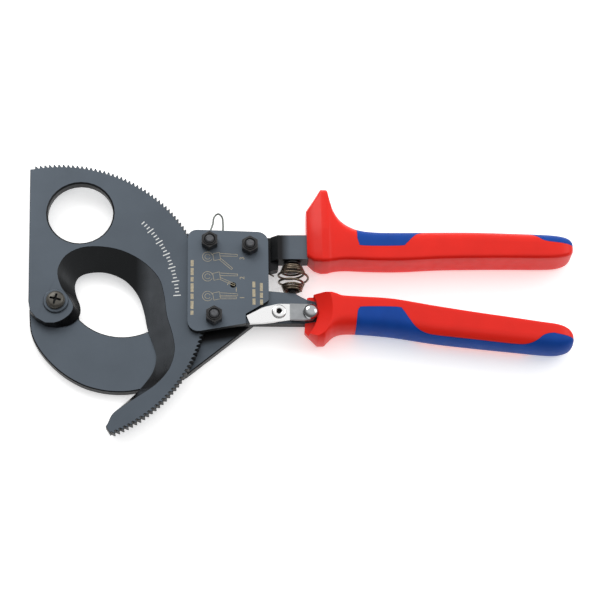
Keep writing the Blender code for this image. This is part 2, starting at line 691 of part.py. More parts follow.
UPPER_INSET = [
    (152.6, 45.0), (152.6, 31.6), (153.4, 28.6), (155.6, 27.1), (174.6, 27.1), (177.6, 28.4),
    (180.2, 31.4), (182.8, 34.2), (187.0, 35.8), (195.0, 36.2), (212.0, 36.2), (230.0, 35.6),
    (240.0, 35.0), (244.2, 33.4), (248.0, 30.6), (252.0, 29.6), (258.0, 28.9), (270.0, 27.0),
    (270.0, 45.0),
]
LOWER_INSET = [
    (149.9, -30.0), (150.3, -22.0), (151.6, -9.6), (152.6, -7.0), (155.0, -6.2), (171.6, -6.4),
    (174.6, -8.0), (177.4, -12.4), (180.6, -16.6), (185.0, -19.2), (192.0, -20.7), (212.0, -23.1),
    (230.0, -25.2), (237.0, -25.4), (241.4, -24.0), (245.0, -21.4), (249.0, -20.4), (253.0, -20.9),
    (268.0, -24.0), (268.0, -40.0), (200.0, -45.0),
]


def grown(outline, amount):
    """The outline moved outward by the amount, for the gap between two mouldings."""
    points = [Vector(point) for point in outline]
    area = sum(a.cross(b) for a, b in zip(points, [*points[1:], points[0]]))
    moved = []
    for i, here in enumerate(points):
        back = (here - points[i - 1]).normalized()
        ahead = (points[(i + 1) % len(points)] - here).normalized()
        normal = Vector((back.y + ahead.y, -back.x - ahead.x)).normalized()
        moved.append(tuple(here + normal * amount * math.copysign(1.0, area)))
    return moved


def grip_pair(label, stations, inset, slot):
    """The red moulding and the soft blue inset of one handle, both around the tang's slot."""
    low, high = -2.0, 2 * GRIP_HALF + 2.0
    red = grip_body(f"{label}_grip", stations, "red_plastic")
    boolean(red, plate(f"{label}_inset_pocket", grown(inset, GAP), low, high))
    boolean(red, slot)
    blue = grip_body(f"{label}_grip_inset", stations, "blue_soft")
    boolean(blue, plate(f"{label}_inset_outline", inset, low, high), "INTERSECT")
    boolean(blue, slot)
    return red, blue


def upper_slot():
    front = 2 * GRIP_MIDDLE - MIDDLE_BACK + GAP
    outline = rounded([
        (120.0, 35.2, 0), (127.2, 35.2, 2.0), (132.2, 33.7, 3.0), (234.3, 33.7, 3.0),
        (234.3, 23.9, 3.0), (132.2, 23.9, 3.0), (127.2, 21.3, 2.0), (120.0, 21.3, 0),
    ])
    return plate("upper_slot", outline, MIDDLE_BACK - GAP, front)


def lower_slot():
    outline = [
        (120.0, -12.5), (126.1, -12.5), (134.0, -11.1), (232.2, -24.4), (234.0, -22.0),
        (233.1, -15.6), (231.2, -14.3), (150.0, -2.9), (134.0, -0.6), (126.7, 1.2), (123.6, 3.0),
        (120.0, 5.4),
    ]
    return plate("lower_slot", outline, MIDDLE_BACK - GAP, MIDDLE_FRONT + GAP)


def build_fixed_body():
    fixed_blade()
    cover_plate()
    for label, at in BODY_BOLTS.items():
        bolt_set(f"body_{label}", at)
    bolt_set("handle_pivot", HANDLE_PIVOT)
    blade_pivot()
    upper_tang()
    pawl_spring()
    return_spring()
    grip_pair("upper", UPPER_GRIP, UPPER_INSET, upper_slot())


def build_handle():
    """Everything that swings with the lower handle."""
    axis = joint_empty("handle_axis", HANDLE_PIVOT)
    lower_tang()
    spring_pegs()
    red, blue = grip_pair("lower", LOWER_GRIP, LOWER_INSET, lower_slot())
    scallop = cylinder("knob_scallop", LEVER_SWEEP, COVER_BACK + 0.6, 2 * GRIP_HALF + 2, RIVET)
    boolean(red, scallop)
    pin = cylinder(
        "drive_pawl_pin", PIN_RADIUS, MIDDLE_BACK + 0.2, MIDDLE_FRONT, DRIVE_PIVOT, "bright_steel",
        sides=20,
    )
    for piece in (bpy.data.objects["lower_tang"], bpy.data.objects["lower_spring_peg"], red, blue, pin):
        parent_to(piece, axis)
    pawl_axis = joint_empty("drive_pawl_axis", DRIVE_PIVOT)
    parent_to(pawl_axis, axis)
    parent_to(drive_pawl(), pawl_axis)
    lever_axis = joint_empty("lock_lever_axis", RIVET)
    parent_to(lever_axis, axis)
    lever = lock_lever()
    parent_to(bpy.data.objects["lock_lever_rivet"], axis)
    parent_to(lever, lever_axis)
    parent_to(bpy.data.objects["lock_lever_knob"], lever_axis)


def build_ratchet():
    blade_axis = joint_empty("blade_axis", (0, 0))
    parent_to(moving_blade(), blade_axis)
    pawl_axis = joint_empty("retaining_pawl_axis", BODY_BOLTS["front"])
    parent_to(retaining_pawl(), pawl_axis)
    parent_to(release_wire(), pawl_axis)


clear_scene()
PARTS = new_collection("cable_cutter")
CUTTERS = new_collection("cutters")
make_materials()
build_fixed_body()
build_handle()
build_ratchet()
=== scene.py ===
import json
import math

import bmesh
import bpy
from mathutils import Matrix, Vector

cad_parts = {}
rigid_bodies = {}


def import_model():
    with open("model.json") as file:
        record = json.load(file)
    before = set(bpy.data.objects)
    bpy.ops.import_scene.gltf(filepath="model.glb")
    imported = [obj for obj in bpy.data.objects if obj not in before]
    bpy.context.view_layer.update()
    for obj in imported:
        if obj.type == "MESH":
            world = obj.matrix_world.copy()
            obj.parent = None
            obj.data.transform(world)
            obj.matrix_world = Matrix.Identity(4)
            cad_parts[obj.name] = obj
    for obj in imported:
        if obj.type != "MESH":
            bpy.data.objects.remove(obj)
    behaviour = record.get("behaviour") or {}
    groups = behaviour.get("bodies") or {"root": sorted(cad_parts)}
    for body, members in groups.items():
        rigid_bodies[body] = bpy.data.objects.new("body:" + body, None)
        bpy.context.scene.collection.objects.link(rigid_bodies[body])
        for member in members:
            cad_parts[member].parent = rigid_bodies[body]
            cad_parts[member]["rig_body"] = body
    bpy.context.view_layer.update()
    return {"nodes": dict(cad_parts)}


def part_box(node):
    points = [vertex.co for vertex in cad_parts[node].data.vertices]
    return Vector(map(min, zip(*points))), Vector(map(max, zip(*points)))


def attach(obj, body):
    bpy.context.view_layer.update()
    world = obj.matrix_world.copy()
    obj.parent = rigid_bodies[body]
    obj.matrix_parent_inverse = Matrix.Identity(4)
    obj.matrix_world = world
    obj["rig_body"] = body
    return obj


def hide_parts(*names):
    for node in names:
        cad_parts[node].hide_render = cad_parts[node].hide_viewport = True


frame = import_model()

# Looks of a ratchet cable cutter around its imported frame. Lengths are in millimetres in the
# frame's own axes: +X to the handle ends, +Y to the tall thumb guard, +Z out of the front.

MM = 0.001
BODY_OF = {node: obj["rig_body"] for node, obj in frame["nodes"].items()}

# Camera and lamps: places and sizes in metres, lens in millimetres, power in watts.
CAMERA_AT = (0.07944, -0.35604, 0.89850)
CAMERA_RIGHT = (0.99896, -0.01702, 0.04238)
CAMERA_BACK = (-0.04567, -0.37230, 0.92699)
LENS = 113.429
LAMP_SIZE = 0.7
LAMPS = (("key_light", (-0.45, 0.95, 0.80), 7.0), ("side_light", (1.05, 0.35, 0.75), 3.0))
LAMP_TARGET = (0.12, 0.0, 0.0)

# Sky: its brightest direction, the degrees from it where it fades, and its two strengths.
DOME_CENTRE = (0.20, 0.50, 0.85)
DOME_EDGE = (30.0, 75.0)
DOME_LEVELS = (0.20, 1.10)

# Floor: how far it lies below the tool, and half its side.
FLOOR_DROP = 0.2
FLOOR_HALF = 2500

# Upward share of a face's normal: FLAT tells a plate's faces from its walls, GROUND tells the
# ground bevels from the walls, and LEVEL picks the faces that are shaded flat.
FLAT = 0.995
GROUND = 0.2
LEVEL = 0.9995

# Edges that turn by more than this many degrees are rounded.
SHARP = 35.0

# The satin steel, and the dark tones that it fades to, which are painted shade and painted
# reflection. Each fade is (x, y, start, end): a direction in plan, and where along it the dark tone
# ends and the full colour is reached.
SATIN = (0.092, 0.112, 0.136)
SHADE_BLACK = (0.007, 0.007, 0.008)
# Painted reflection on the ground bevels: a dark tone towards low x, over their top run, and black
# towards their low end.
BEVEL_REFLECTION_DARK = (0.010, 0.011, 0.012)
BEVEL_TOP_REFLECTION = (1.0, 0.0, 40.0, 47.5)
BEVEL_END_REFLECTION = (0.0, 1.0, -42.0, -28.0)
# Painted shadow of the cover plate on the fixed blade's tail.
COVER_SHADOW = ((1.0, 0.0, 72.0, 68.0), (0.17, -0.985, 31.5, 34.5))
# Painted shade on the upper tang's neck, where it passes under the cover plate.
TANG_NECK_SHADE = (1.0, 0.0, 114.0, 118.5)

# Blades: the round window, whose wall isn't ground, and how steep a broken edge is.
WINDOW_CENTRE = (11.1, 48.9)
WINDOW_REACH = 19.5
RIM_SLOPE = 0.7

# Fasteners: the lock nuts, and the cross recess of the pivot screw.
NUT_FLATS = 8.0
NUT_BORE = 2.35
CROSS_TURN = -14.0
CROSS_REACH = 3.1
CROSS_HALF = 0.58
CROSS_SHAPE = (
    (-0.82, -1), (0.82, -1), (0.95, -0.5), (0.95, 0.5), (0.82, 1), (-0.82, 1), (-0.95, 0.5),
    (-0.95, -0.5),
)

# Lock lever: where its satin thumb plate starts, how far the domed knob is drawn towards the
# grip from the CAD's knob, and the dome.
THUMB_START = 118.2
KNOB_SHIFT = 0.8
KNOB_RADIUS = 3.95
KNOB_RISE = 2.3
KNOB_STEPS = 9

# Return spring: samples to a turn, wire radius, the gap that its ends leave in the node's box,
# and its turns, each as (turn, radius, share of the height).
COIL_STEPS = 40
SPRING_WIRE = 0.58
SPRING_GAP = 0.6
COILS = [
    (0.0, 4.3, 0.0), (1.0, 4.6, 0.08), (2.0, 5.0, 0.165), (3.0, 5.6, 0.27), (4.0, 7.9, 0.52),
    (5.0, 6.0, 0.74), (6.0, 5.4, 0.835), (7.0, 4.9, 0.92), (8.0, 4.6, 1.0),
]

# Grips: height of their middle plane, edge rounding, bulge of the outer side (1 is round), fall
# of the crowned face, thinning of the thumb guard above its foot, lean of the lower collar's
# ridge with its place and reach, and the seam round the inlays.
GRIP_MIDDLE = 9.7
EDGE_RADIUS = 1.7
SWELL = 0.86
CROWN_FALL = 0.035
GUARD_THINNING = 0.012
GUARD_FOOT = 36.0
COLLAR_LEAN = 0.2
RIDGE_AT = 132.0
RIDGE_REACH = 12.0
SEAM = 0.06
CUT_FROM = -3
CUT_TO = 23

# Room that the lever's knob sweeps out of the lower grip: foot, face and top of its wall.
SWEEP_RADIUS = 19.5
SWEEP_FACE = (27.4, 19.7)
SWEEP_TOP = (29.0, 30)
SWEEP_GAP = 0.3

# Printed marks: thickness, line widths, and the scale and the drawings on the steel.
PRINT = 0.03
FINE_LINE = 0.22
THIN_LINE = 0.2
BOLD_LINE = 0.3
TICKS = 24
TICK_START = 3.0
TICK_SWEEP = 42.0
TICK_WIDTH = 0.55
LONG_TICK = (59.2, 63.0)
SHORT_TICK = (60.2, 62.2)
DRAWING_FOOT = 0.5
DRAWING_PITCH = 10.8
HANDLE_OPENINGS = (0.0, 26.0, 42.0)
HANDLE_LENGTH = 8.6
BAR_WIDTH = 1.5
BAR_GAP = 0.9
NUMBER_SIZE = 3.4
NUMBER_X = 95.0
NUMBER_FOOT = 0.6


# ---------------------------------------------------------------- small tools

def spline(points, steps):
    """Catmull-Rom curve through points of any dimension, steps samples to a stretch."""
    line = [tuple(2 * a - b for a, b in zip(points[0], points[1])), *points]
    line.append(tuple(2 * a - b for a, b in zip(points[-1], points[-2])))
    out = []
    for p0, p1, p2, p3 in zip(line, line[1:], line[2:], line[3:]):
        for step in range(steps):
            t = step / steps
            weights = (
                (-t + 2 * t ** 2 - t ** 3) / 2, (2 - 5 * t ** 2 + 3 * t ** 3) / 2,
                (t + 4 * t ** 2 - 3 * t ** 3) / 2, (t ** 3 - t ** 2) / 2,
            )
            out.append(tuple(
                sum(w * v for w, v in zip(weights, values)) for values in zip(p0, p1, p2, p3)
            ))
    return [*out, tuple(points[-1])]


def polar(centre, radius, degrees):
    """Point in plan at a distance and an angle from a centre."""
    angle = math.radians(degrees)
    return centre[0] + radius * math.cos(angle), centre[1] + radius * math.sin(angle)


def centre_of(node):
    """Middle of a CAD node's box."""
    low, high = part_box(node)
    return (low + high) / 2 / MM


def heights(node):
    """Bottom and top of a CAD node's box."""
    low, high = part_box(node)
    return low.z / MM, high.z / MM


def link(name, data):
    obj = bpy.data.objects.new(name, data)
    bpy.context.scene.collection.objects.link(obj)
    return obj


def finish_piece(obj, body, materials, nodes=(), angle=30.0):
    """Gives a piece its materials and shading, lets it ride and hides the CAD nodes that it stands
    for.
    """
    for material in materials:
        obj.data.materials.append(material)
    obj.data.shade_smooth()
    obj.data.set_sharp_from_angle(angle=math.radians(angle))
    for face in obj.data.polygons:
        face.use_smooth = abs(face.normal.z) < LEVEL
    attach(obj, body)
    if nodes:
        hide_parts(*nodes)


def keep_flats(obj):
    """Lets the large faces lead the shading."""
    weigh = obj.modifiers.new("flats", "WEIGHTED_NORMAL")
    weigh.keep_sharp = True


def soften(obj, width, segments=2, paint=-1):
    """Small rounded edges; paint is their material's index, or -1 for their neighbours'."""
    bevel = obj.modifiers.new("edges", "BEVEL")
    bevel.width = width * MM
    bevel.segments = segments
    bevel.limit_method = "ANGLE"
    bevel.angle_limit = math.radians(SHARP)
    bevel.use_clamp_overlap = True
    bevel.material = paint
    keep_flats(obj)


def mesh_from(name, points, faces):
    mesh = bpy.data.meshes.new(name)
    mesh.from_pydata([tuple(v * MM for v in point) for point in points], [], faces)
    bm = bmesh.new()
    bm.from_mesh(mesh)
    bmesh.ops.recalc_face_normals(bm, faces=bm.faces)
    bm.to_mesh(mesh)
    bm.free()
    return link(name, mesh)


def loft(name, rings):
    """Closed skin over rings of equal length, with an end cap on each side."""
    size = len(rings[0])
    points = [point for ring in rings for point in ring]
    faces = [tuple(range(size)), tuple(range(len(points) - size, len(points)))]
    for i in range(len(rings) - 1):
        for j in range(size):
            a, b = i * size + j, i * size + (j + 1) % size
            faces.append((a, b, b + size, a + size))
    return mesh_from(name, points, faces)


def turned(name, profile, at, steps=48):
    """Solid of revolution: profile is (radius, height), downwards or round a closed ring."""
    points, faces, rows = [], [], []
    for radius, height in profile:
        if radius == 0:
            rows.append([len(points)])
            points.append((0.0, 0.0, height))
            continue
        rows.append(list(range(len(points), len(points) + steps)))
        for step in range(steps):
            angle = 2 * math.pi * step / steps
            points.append((radius * math.cos(angle), radius * math.sin(angle), height))
    if profile[0] == profile[-1]:
        points = points[:-steps]
        rows[-1] = rows[0]
    for upper, lower in zip(rows, rows[1:]):
        for step in range(steps):
            ahead = (step + 1) % steps
            face = (
                upper[step % len(upper)], upper[ahead % len(upper)],
                lower[ahead % len(lower)], lower[step % len(lower)],
            )
            faces.append(tuple(dict.fromkeys(face)))
    obj = mesh_from(name, points, faces)
    obj.data.transform(Matrix.Translation(Vector(at) * MM))
    return obj


def prism(name, outline, low, high):
    """Upright solid on a plan outline."""
    size = len(outline)
    points = [(*point, z) for z in (low, high) for point in outline]
    faces = [tuple(range(size)), tuple(range(size, 2 * size))]
    for i in range(size):
        j = (i + 1) % size
        faces.append((i, j, j + size, i + size))
    return mesh_from(name, points, faces)


def evaluated_mesh(obj):
    graph = bpy.context.evaluated_depsgraph_get()
    return bpy.data.meshes.new_from_object(obj.evaluated_get(graph))


def tube(name, points, radius, sides):
    """Round wire along points, with closed ends."""
    curve = bpy.data.curves.new(name, "CURVE")
    curve.dimensions = "3D"
    curve.bevel_depth = radius * MM
    curve.bevel_resolution = sides
    curve.use_fill_caps = True
    run = curve.splines.new("POLY")
    run.points.add(len(points) - 1)
    for i, point in enumerate(points):
        run.points[i].co = (*(v * MM for v in point), 1.0)
    obj = link(name, curve)
    mesh = evaluated_mesh(obj)
    bpy.data.objects.remove(obj)
    bm = bmesh.new()
    bm.from_mesh(mesh)
    bmesh.ops.remove_doubles(bm, verts=bm.verts, dist=1e-6)
    bmesh.ops.recalc_face_normals(bm, faces=bm.faces)
    bm.to_mesh(mesh)
    bm.free()
    return link(name, mesh)


def cut(obj, tool, operation="DIFFERENCE"):
    """Applies a Boolean at once and throws the tool away."""
    step = obj.modifiers.new("cut", "BOOLEAN")
    step.object = tool
    step.operation = operation
    step.solver = "EXACT"
    mesh = evaluated_mesh(obj)
    obj.modifiers.clear()
    obj.data = mesh
    bpy.data.objects.remove(tool)


def break_rim(bm, side, width, paint):
    """Chamfers the border of the top (side 1) or the underside (side -1) of a plate."""
    flats = [face for face in bm.faces if face.normal.z * side > FLAT]
    level = max(vert.co.z * side for face in flats for vert in face.verts)
    flats = [face for face in flats if abs(face.verts[0].co.z * side - level) < 1e-5]
    made = bmesh.ops.inset_region(
        bm, faces=flats, thickness=width * MM, depth=0.0, use_even_offset=True, use_boundary=True
    )
    top = {vert for face in flats for vert in face.verts}
    for face in made["faces"]:
        face.material_index = paint
    for vert in {vert for face in made["faces"] for vert in face.verts} - top:
        vert.co.z -= side * width * MM * RIM_SLOPE


def refined(node, materials, edge, segments=2, angle=30.0, paint=None, whole=True, edge_paint=-1):
    """Copy of a CAD node with small rounded edges.

    The flat faces are made whole first. A toothed plate, with whole=False, keeps its triangles
    and gets a chamfer in its third material. paint gives a face its material's index.
    """
    source = frame["nodes"][node].data
    mesh = bpy.data.meshes.new(node)
    mesh.from_pydata(
        [vert.co[:] for vert in source.vertices], [], [face.vertices[:] for face in source.polygons]
    )
    bm = bmesh.new()
    bm.from_mesh(mesh)
    bmesh.ops.remove_doubles(bm, verts=bm.verts, dist=2e-6)
    if whole:
        bmesh.ops.dissolve_limit(
            bm, angle_limit=math.radians(0.5), verts=bm.verts, edges=bm.edges, delimit=set()
        )
    if paint:
        for face in bm.faces:
            face.material_index = paint(face)
    if not whole:
        for side in (1.0, -1.0):
            break_rim(bm, side, edge, 2)
    bm.to_mesh(mesh)
    bm.free()
    obj = link(f"{node}_detail", mesh)
    finish_piece(obj, BODY_OF[node], materials, (node,), angle=angle)
    if whole:
        soften(obj, edge, segments, paint=edge_paint)
    else:
        keep_flats(obj)


# ---------------------------------------------------------------- materials

class Finish:
    """A Principled material whose colour, roughness and relief vary over the surface."""

    def __init__(self, name, colour, roughness, metallic=0.0, **sockets):
        self.material = bpy.data.materials.new(name)
        self.material.use_nodes = True
        self.tree = self.material.node_tree
        self.shader = self.tree.nodes["Principled BSDF"]
        self.shader.inputs["Base Color"].default_value = (*colour, 1.0)
        self.shader.inputs["Roughness"].default_value = roughness
        self.shader.inputs["Metallic"].default_value = metallic
        for socket, value in sockets.items():
            self.shader.inputs[socket.replace("_", " ")].default_value = value
        self.colour = colour
        self.roughness = roughness
        self.where = self.tree.nodes.new("ShaderNodeTexCoord").outputs["Object"]
        self.normal = None

    def noise(self, size, detail=3.0, stretch=(1.0, 1.0, 1.0), turn=0.0):
        """Noise with features about size millimetres across, longer where stretch is above 1."""
        mapping = self.tree.nodes.new("ShaderNodeMapping")
        mapping.inputs["Scale"].default_value = tuple(1.0 / (size * MM * s) for s in stretch)
        mapping.inputs["Rotation"].default_value = (0.0, 0.0, math.radians(turn))
        self.tree.links.new(self.where, mapping.inputs["Vector"])
        noise = self.tree.nodes.new("ShaderNodeTexNoise")
        noise.inputs["Scale"].default_value = 1.0
        noise.inputs["Detail"].default_value = detail
        self.tree.links.new(mapping.outputs["Vector"], noise.inputs["Vector"])
        return noise.outputs["Fac"]

    def ramp(self, source, low, high, from_low=0.3, from_high=0.7):
        """Maps a value to low and high; the usual span is where most of a noise lies."""
        node = self.tree.nodes.new("ShaderNodeMapRange")
        node.inputs["From Min"].default_value = from_low
        node.inputs["From Max"].default_value = from_high
        node.inputs["To Min"].default_value = low
        node.inputs["To Max"].default_value = high
        self.tree.links.new(source, node.inputs["Value"])
        return node.outputs["Result"]

    def mottle(self, size, amount, **kind):
        """Lets the colour drift between two tones."""
        mix = self.tree.nodes.new("ShaderNodeMix")
        mix.data_type = "RGBA"
        dark = tuple(c * (1.0 - amount) for c in self.colour)
        light = tuple(min(1.0, c * (1.0 + amount)) for c in self.colour)
        mix.inputs["A"].default_value = (*dark, 1.0)
        mix.inputs["B"].default_value = (*light, 1.0)
        self.tree.links.new(self.ramp(self.noise(size, **kind), 0.0, 1.0), mix.inputs["Factor"])
        self.tree.links.new(mix.outputs["Result"], self.shader.inputs["Base Color"])
        return self

    def gloss(self, size, spread, **kind):
        """Lets the roughness drift around its value."""
        value = self.ramp(
            self.noise(size, **kind), self.roughness - spread, self.roughness + spread
        )
        self.tree.links.new(value, self.shader.inputs["Roughness"])
        return self

    def fade(self, dark, *edges):
        """Paints shade: turns the colour dark on the near side of every edge, given as (x, y, start,
        end).
        """
        share = None
        for x, y, start, end in edges:
            along = self.tree.nodes.new("ShaderNodeVectorMath")
            along.operation = "DOT_PRODUCT"
            along.inputs[1].default_value = (x, y, 0.0)
            self.tree.links.new(self.where, along.inputs[0])
            passed = self.ramp(along.outputs["Value"], 0.0, 1.0, start * MM, end * MM)
            if share:
                most = self.tree.nodes.new("ShaderNodeMath")
                most.operation = "MAXIMUM"
                self.tree.links.new(share, most.inputs[0])
                self.tree.links.new(passed, most.inputs[1])
                passed = most.outputs["Value"]
            share = passed
        mix = self.tree.nodes.new("ShaderNodeMix")
        mix.data_type = "RGBA"
        mix.inputs["A"].default_value = (*dark, 1.0)
        base = self.shader.inputs["Base Color"]
        self.tree.links.new(base.links[0].from_socket, mix.inputs["B"])
        self.tree.links.new(share, mix.inputs["Factor"])
        self.tree.links.new(mix.outputs["Result"], base)
        return self

    def grain(self, size, height, **kind):
        """Adds relief of the given height; calls add up."""
        bump = self.tree.nodes.new("ShaderNodeBump")
        bump.inputs["Distance"].default_value = height * MM
        bump.inputs["Strength"].default_value = 1.0
        self.tree.links.new(self.noise(size, **kind), bump.inputs["Height"])
        if self.normal:
            self.tree.links.new(self.normal, bump.inputs["Normal"])
        self.normal = bump.outputs["Normal"]
        self.tree.links.new(self.normal, self.shader.inputs["Normal"])
        return self


def make_finishes():
    """Every material of the scene by its short name."""
    made = {}
    for flat, tone in (("blade", 0.80), ("anvil", 0.82), ("cover", 1.0)):
        made[flat] = (
            Finish(f"{flat}_satin", tuple(c * tone for c in SATIN), 0.42, 0.7)
            .mottle(18.0, 0.06).gloss(3.0, 0.05, detail=6.0)
            .grain(0.25, 0.006, detail=4.0).grain(0.5, 0.003, stretch=(1.0, 14.0, 1.0))
        )
    # Painted shadow: the fixed blade's tail goes black where the cover plate overhangs it.
    made["anvil"].fade(SHADE_BLACK, *COVER_SHADOW)
    # The ground bevels' steel, with painted reflection: a dark tone towards low x and black towards
    # the bevel's low end.
    made["ground"] = (
        Finish("blade_ground", (0.066, 0.072, 0.080), 0.30, 0.75)
        .mottle(9.0, 0.12).gloss(2.0, 0.06, stretch=(1.0, 8.0, 1.0))
        .grain(0.16, 0.004, stretch=(1.0, 10.0, 1.0), turn=35.0)
        .fade(BEVEL_REFLECTION_DARK, BEVEL_TOP_REFLECTION).fade(SHADE_BLACK, BEVEL_END_REFLECTION)
    )
    # Near black and far darker than the steel faces: painted shade on the plates' walls and broken
    # edges, and in the screw's cross recess.
    made["rim"] = (
        Finish("blade_rim", (0.009, 0.010, 0.011), 0.42, 0.3, Specular_IOR_Level=0.25)
        .mottle(4.0, 0.15).gloss(1.0, 0.06).grain(0.2, 0.006)
    )
    for tang in ("upper_tang", "lower_tang"):
        made[tang] = (
            Finish(f"{tang}_satin", (0.088, 0.105, 0.126), 0.40, 0.7)
            .mottle(12.0, 0.08).gloss(3.0, 0.06).grain(0.3, 0.006)
        )
    # Painted shade: the upper tang's neck goes black where it passes under the cover plate.
    made["upper_tang"].fade(SHADE_BLACK, TANG_NECK_SHADE)
    made["black"] = (
        Finish("black_oxide", (0.034, 0.034, 0.035), 0.34, 0.7)
        .mottle(2.0, 0.25).gloss(0.8, 0.08).grain(0.25, 0.01)
    )
    made["nylon"] = (
        Finish("nylon_ring", (0.012, 0.012, 0.013), 0.5).mottle(1.0, 0.2).grain(0.2, 0.006)
    )
    made["bolt_end"] = (
        Finish("bolt_end_steel", (0.085, 0.088, 0.095), 0.45, 0.6)
        .mottle(0.8, 0.25).gloss(0.6, 0.08).grain(0.3, 0.02)
    )
    made["screw"] = (
        Finish("turned_screw", (0.085, 0.080, 0.070), 0.38, 0.65)
        .mottle(1.5, 0.10).gloss(0.8, 0.05).grain(0.15, 0.004)
    )
    made["spring"] = (
        Finish("tempered_wire", (0.145, 0.115, 0.085), 0.30, 0.85)
        .mottle(2.5, 0.25).gloss(1.0, 0.08).grain(0.12, 0.003)
    )
    made["wire"] = (
        Finish("plated_wire", (0.11, 0.12, 0.11), 0.34, 0.8)
        .mottle(1.5, 0.15).gloss(0.8, 0.08).grain(0.12, 0.003)
    )
    made["chrome"] = (
        Finish("polished_plate", (0.80, 0.80, 0.80), 0.10, 1.0)
        .gloss(2.5, 0.04).grain(0.7, 0.0012)
    )
    # A darker copy of the polished chrome: painted reflection of dark surroundings on the knob.
    made["knob"] = (
        Finish("polished_knob", (0.40, 0.41, 0.42), 0.12, 1.0)
        .mottle(3.0, 0.10).gloss(1.5, 0.04).grain(0.7, 0.0012)
    )
    made["plate"] = (
        Finish("satin_plate", (0.29, 0.30, 0.31), 0.34, 0.8)
        .mottle(3.0, 0.08).gloss(1.2, 0.06).grain(0.25, 0.006)
    )
    made["red"] = (
        Finish("red_grip", (0.76, 0.016, 0.008), 0.36, Specular_IOR_Level=0.20)
        .mottle(14.0, 0.04).gloss(5.0, 0.05).grain(0.55, 0.012, detail=2.0)
    )
    made["blue"] = (
        Finish("blue_inlay", (0.003, 0.052, 0.300), 0.50, Specular_IOR_Level=0.15)
        .mottle(8.0, 0.08).gloss(2.0, 0.06).grain(0.42, 0.045, detail=2.0)
    )
    made["white_print"] = Finish("white_print", (0.70, 0.71, 0.70), 0.55).mottle(0.6, 0.10)
    made["tan_print"] = (
        Finish("etched_mark", (0.38, 0.33, 0.23), 0.55, 0.1).mottle(0.7, 0.25)
    )
    return {name: finish.material for name, finish in made.items()}


M = make_finishes()


# ---------------------------------------------------------------- camera, light and floor

def studio_dome():
    """Bright overhead and behind the tool, dim towards the viewer and along the horizon."""
    world = bpy.data.worlds.new("studio")
    world.use_nodes = True
    tree = world.node_tree
    tree.nodes["Background"].inputs["Color"].default_value = (1.0, 1.0, 1.0, 1.0)
    direction = tree.nodes.new("ShaderNodeTexCoord").outputs["Generated"]
    dot = tree.nodes.new("ShaderNodeVectorMath")
    dot.operation = "DOT_PRODUCT"
    dot.inputs[1].default_value = Vector(DOME_CENTRE).normalized()
    tree.links.new(direction, dot.inputs[0])
    level = tree.nodes.new("ShaderNodeMapRange")
    level.interpolation_type = "SMOOTHSTEP"
    level.inputs["From Min"].default_value = math.cos(math.radians(DOME_EDGE[1]))
    level.inputs["From Max"].default_value = math.cos(math.radians(DOME_EDGE[0]))
    level.inputs["To Min"].default_value = DOME_LEVELS[0]
    level.inputs["To Max"].default_value = DOME_LEVELS[1]
    tree.links.new(dot.outputs["Value"], level.inputs["Value"])
    tree.links.new(level.outputs["Result"], tree.nodes["Background"].inputs["Strength"])
    return world


def make_camera():
    right = Vector(CAMERA_RIGHT).normalized()
    back = Vector(CAMERA_BACK).normalized()
    up = back.cross(right).normalized()
    data = bpy.data.cameras.new("camera")
    data.lens = LENS
    camera = link("camera", data)
    turn = Matrix((right, up, back)).transposed().to_4x4()
    camera.matrix_world = Matrix.Translation(Vector(CAMERA_AT)) @ turn
    bpy.context.scene.camera = camera
    bpy.context.scene.view_settings.view_transform = "Standard"


def make_lamps():
    for name, at, power in LAMPS:
        lamp = bpy.data.lights.new(name, "AREA")
        lamp.shape = "SQUARE"
        lamp.size = LAMP_SIZE
        lamp.energy = power
        obj = link(name, lamp)
        obj.location = at
        towards = Vector(LAMP_TARGET) - Vector(at)
        obj.rotation_euler = towards.to_track_quat("-Z", "Y").to_euler()


def make_floor():
    """White paper with a glow of its own, so that the shadows on it stay light."""
    corners = [(-FLOOR_HALF, -FLOOR_HALF), (FLOOR_HALF, -FLOOR_HALF)]
    corners += [(FLOOR_HALF, FLOOR_HALF), (-FLOOR_HALF, FLOOR_HALF)]
    floor = mesh_from("floor", [(x, y, -FLOOR_DROP) for x, y in corners], [(0, 1, 2, 3)])
    paper = Finish(
        "paper", (0.93, 0.93, 0.93), 0.9, Emission_Color=(1, 1, 1, 1), Emission_Strength=0.45
    )
    floor.data.materials.append(paper.mottle(300.0, 0.004).material)


# ---------------------------------------------------------------- blades and cover

def blade_paint(face):
    """0 on the flat faces, 1 on the ground bevels, 2 on the walls."""
    if abs(face.normal.z) > FLAT:
        return 0
    middle = face.calc_center_median() / MM
    from_window = math.hypot(middle.x - WINDOW_CENTRE[0], middle.y - WINDOW_CENTRE[1])
    if face.normal.z > GROUND and from_window > WINDOW_REACH:
        return 1
    return 2


def make_blades():
    for node, flat, edge in (("moving_blade", "blade", 0.22), ("fixed_blade", "anvil", 0.55)):
        steels = [M[flat], M["ground"], M["rim"]]
        refined(node, steels, edge, angle=12.0, paint=blade_paint, whole=False)
    refined(
        "cover_plate", [M["cover"], M["rim"], M["rim"]], 0.45, segments=3, paint=blade_paint,
        edge_paint=1,
    )
    for tang, edge in (("upper_tang", 0.5), ("lower_tang", 0.4)):
        refined(
            tang, [M[tang], M["rim"]], edge, segments=3, edge_paint=1,
            paint=lambda face: int(abs(face.normal.z) < FLAT),
        )
    for pawl in ("drive_pawl", "retaining_pawl"):
        refined(pawl, [M["lower_tang"]], 0.15)


# ---------------------------------------------------------------- fasteners

